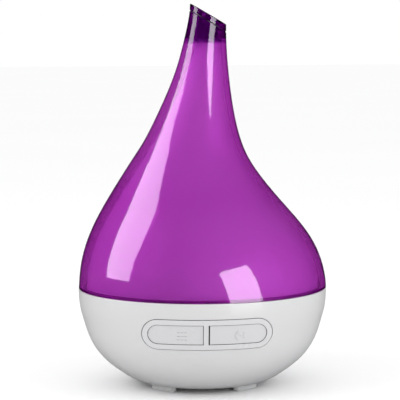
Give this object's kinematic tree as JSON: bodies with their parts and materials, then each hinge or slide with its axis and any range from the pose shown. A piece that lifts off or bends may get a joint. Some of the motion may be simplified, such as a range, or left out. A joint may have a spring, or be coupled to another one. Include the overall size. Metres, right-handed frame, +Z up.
{
  "type": "cool mist humidifier",
  "caption": "Ultrasonic cool mist humidifier: bowl base with push buttons and water tank, under a mist cone and a clear teardrop cover that lift off.",
  "frame": {"origin": "on the surface the feet stand on, under the bowl's centre", "axes": "+Z up along the bowl's axis; the buttons face -Y and the power socket +Y; the spout's tip leans to -X, with its cut facing +X"},
  "size_m": [0.15, 0.15, 0.23],
  "materials": {
    "tinted_clear": "clear purple tinted plastic, polished",
    "white_cone": "translucent white plastic, satin",
    "white_housing": "warm white plastic, fine satin",
    "white_trim": "white plastic, semi gloss",
    "button_grey": "pale grey plastic, satin",
    "tank_white": "translucent white plastic, satin",
    "clear_silicone": "soft white silicone",
    "black_plastic": "black moulded plastic",
    "grey_plastic": "grey moulded plastic",
    "connector_plastic": "natural nylon",
    "board_green": "green solder mask",
    "disc_steel": "thin steel plate",
    "ceramic": "silvered ceramic",
    "steel": "plated steel",
    "copper": "enamelled copper wire",
    "bronze": "sintered bronze",
    "aluminium": "bare aluminium",
    "led_white": "white lamp package",
    "lead_black": "black insulation",
    "lead_red": "red insulation",
    "lead_white": "white insulation",
    "lead_grey": "grey insulation"
  },
  "bodies": {
    "base": {"base_housing": "white_housing", "panel_bezel": "white_trim", "tact_switches": "steel", "control_board": "board_green", "control_connectors": "connector_plastic", "water_tank": "tank_white", "air_duct": "tank_white", "tank_gasket": "clear_silicone", "duct_cap": "tank_white", "duct_gasket": "black_plastic", "disc_seal": "clear_silicone", "disc_plate": "disc_steel", "disc_ceramic": "ceramic", "disc_clamp": "grey_plastic", "clamp_screws": "steel", "fan_frame": "black_plastic", "fan_bearing": "bronze", "fan_windings": "copper", "fan_screws": "steel", "bottom_plate": "white_housing", "foot_pads": "clear_silicone", "base_screws": "steel", "main_board": "board_green", "board_screws": "steel", "heat_sink": "aluminium", "coil_core": "black_plastic", "coil_winding": "copper", "capacitors": "aluminium", "board_chips": "black_plastic", "board_connectors": "connector_plastic", "light_ring_board": "board_green", "light_ring_leds": "led_white", "socket_body": "black_plastic", "socket_pin": "steel", "power_leads": "lead_black", "fan_leads": "lead_red", "disc_leads": "lead_white", "control_leads": "lead_grey", "light_ring_leads": "lead_white"},
    "outer_cover": {"outer_cover": "tinted_clear"},
    "mist_cone": {"mist_cone": "white_cone"},
    "impeller": {"fan_impeller": "black_plastic", "fan_shaft": "steel"},
    "left_button": {"left_button": "button_grey"},
    "right_button": {"right_button": "button_grey"},
    "left_plunger": {"left_plunger": "black_plastic"},
    "right_plunger": {"right_plunger": "black_plastic"}
  },
  "joints": [
    {"name": "outer_cover_lift", "type": "slide", "parent": "base", "child": "outer_cover", "axis": [0, 0, 1], "range_m": [0, 0.34]},
    {"name": "mist_cone_lift", "type": "slide", "parent": "base", "child": "mist_cone", "axis": [0, 0, 1], "range_m": [0, 0.17]},
    {"name": "fan_spin", "type": "hinge", "parent": "base", "child": "impeller", "pos_m": [0.018, 0, 0.0116], "axis": [0, 0, 1], "continuous": true},
    {"name": "left_button_press", "type": "slide", "parent": "base", "child": "left_button", "axis": [0, 1, 0], "range_m": [0, 0.0005], "stiffness_N_per_m": 1500, "springref_m": -0.0001},
    {"name": "right_button_press", "type": "slide", "parent": "base", "child": "right_button", "axis": [0, 1, 0], "range_m": [0, 0.0005], "stiffness_N_per_m": 1500, "springref_m": -0.0001},
    {"name": "left_plunger_press", "type": "slide", "parent": "base", "child": "left_plunger", "axis": [0, 1, 0], "range_m": [0, 0.0005]},
    {"name": "right_plunger_press", "type": "slide", "parent": "base", "child": "right_plunger", "axis": [0, 1, 0], "range_m": [0, 0.0005]}
  ],
  "couplings": [
    {"joint": "mist_cone_lift", "follows": "outer_cover_lift", "ratio": 0.5},
    {"joint": "left_plunger_press", "follows": "left_button_press", "ratio": 1},
    {"joint": "right_plunger_press", "follows": "right_button_press", "ratio": 1}
  ]
}
